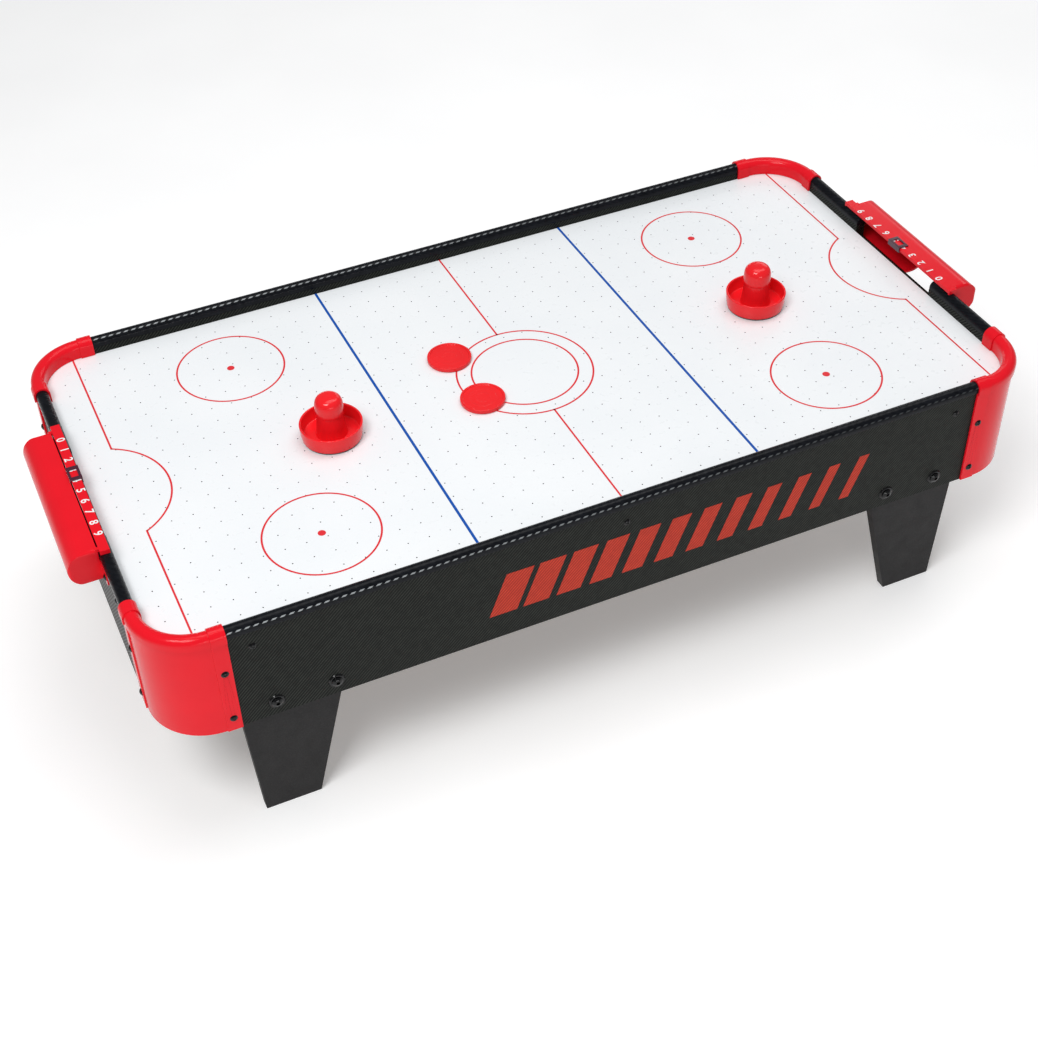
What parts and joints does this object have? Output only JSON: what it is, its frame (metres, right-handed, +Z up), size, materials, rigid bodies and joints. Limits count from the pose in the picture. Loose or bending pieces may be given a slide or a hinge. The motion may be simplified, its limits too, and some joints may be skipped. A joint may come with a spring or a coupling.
{
  "type": "air hockey table",
  "caption": "Low air hockey table: framed white playing board over an air chamber and blower, rounded red corners, goal hoods with score sliders, flat legs, strikers and pucks.",
  "frame": {"origin": "on the floor, under the middle of the table", "axes": "+X along the table from the left goal to the right goal, +Y across it from front to back, +Z up"},
  "size_m": [1.093, 0.5398, 0.3268],
  "materials": {
    "board_laminate": "white satin laminate with printed lines",
    "panel_film": "charcoal twill-pattern film on fibreboard",
    "rail_plastic": "glossy blue-black with a fine embossed twill",
    "red_plastic": "moulded, semi-gloss",
    "bare_wood": "sawn softwood",
    "slider_plastic": "moulded, dark plum",
    "leg_laminate": "plain matt laminate on fibreboard",
    "black_steel": "black oxide",
    "zinc_steel": "zinc plated",
    "hardboard": "bare hardboard",
    "blower_plastic": "moulded",
    "black_plastic": "moulded",
    "rocker_plastic": "moulded",
    "cable_sheath": "smooth",
    "clip_plastic": "natural nylon",
    "striker_plastic": "moulded, glossy",
    "felt": "pressed felt",
    "puck_plastic": "moulded, semi-gloss"
  },
  "bodies": {
    "table": {"play_board": "board_laminate", "side_panel_front": "panel_film", "side_panel_back": "panel_film", "end_panel_left": "panel_film", "end_panel_right": "panel_film", "side_rail_front": "rail_plastic", "side_rail_back": "rail_plastic", "end_rail_left_front": "rail_plastic", "end_rail_left_back": "rail_plastic", "end_rail_right_front": "rail_plastic", "end_rail_right_back": "rail_plastic", "corner_cover_left_front": "red_plastic", "corner_cover_left_back": "red_plastic", "corner_cover_right_front": "red_plastic", "corner_cover_right_back": "red_plastic", "corner_bracket_left_front": "bare_wood", "corner_bracket_left_back": "bare_wood", "corner_bracket_right_front": "bare_wood", "corner_bracket_right_back": "bare_wood", "goal_hood_left": "red_plastic", "goal_hood_right": "red_plastic", "leg_left_front": "leg_laminate", "leg_left_back": "leg_laminate", "leg_right_front": "leg_laminate", "leg_right_back": "leg_laminate", "leg_bolts": "black_steel", "leg_washers": "black_steel", "leg_nuts": "zinc_steel", "side_batten_front": "bare_wood", "side_batten_back": "bare_wood", "end_batten_left": "bare_wood", "end_batten_right": "bare_wood", "cross_rib_left": "bare_wood", "cross_rib_right": "bare_wood", "chamber_deck": "hardboard", "deck_screws": "black_steel", "blower_case": "blower_plastic", "blower_grille": "blower_plastic", "blower_motor": "zinc_steel", "blower_screws": "black_steel", "switch_body": "black_plastic", "power_jack": "black_plastic", "power_lead": "cable_sheath", "lead_clips": "clip_plastic", "panel_screws": "black_steel", "cover_screws": "black_steel", "hood_screws": "black_steel"},
    "slider_left": {"score_slider_left": "slider_plastic"},
    "slider_right": {"score_slider_right": "slider_plastic"},
    "rotor": {"blower_wheel": "blower_plastic", "blower_shaft": "zinc_steel"},
    "rocker": {"switch_rocker": "rocker_plastic"},
    "striker_l": {"striker_left": "striker_plastic", "striker_pad_left": "felt"},
    "striker_r": {"striker_right": "striker_plastic", "striker_pad_right": "felt"},
    "puck_l": {"puck_left": "puck_plastic"},
    "puck_r": {"puck_right": "puck_plastic"}
  },
  "joints": [
    {"name": "score_left", "type": "slide", "parent": "table", "child": "slider_left", "axis": [0, -1, 0], "range_m": [-0.06222, 0.10248]},
    {"name": "score_right", "type": "slide", "parent": "table", "child": "slider_right", "axis": [0, 1, 0], "range_m": [-0.08418, 0.08052]},
    {"name": "blower_spin", "type": "hinge", "parent": "table", "child": "rotor", "pos_m": [0, 0, 0.22], "axis": [0, 0, 1], "continuous": true},
    {"name": "switch_tip", "type": "hinge", "parent": "table", "child": "rocker", "pos_m": [0.2, 0.264, 0.201], "axis": [0, 0, 1], "range_deg": [0, 16]},
    {"name": "striker_left_run", "type": "slide", "parent": "table", "child": "striker_l", "axis": [1, 0, 0], "range_m": [-0.229, 0.107]},
    {"name": "striker_right_run", "type": "slide", "parent": "table", "child": "striker_r", "axis": [1, 0, 0], "range_m": [-0.26, 0.153]},
    {"name": "puck_left_run", "type": "slide", "parent": "table", "child": "puck_l", "axis": [1, 0, 0], "range_m": [-0.399, 0.521]},
    {"name": "puck_right_run", "type": "slide", "parent": "table", "child": "puck_r", "axis": [0, 1, 0], "range_m": [-0.195, 0.029]}
  ]
}
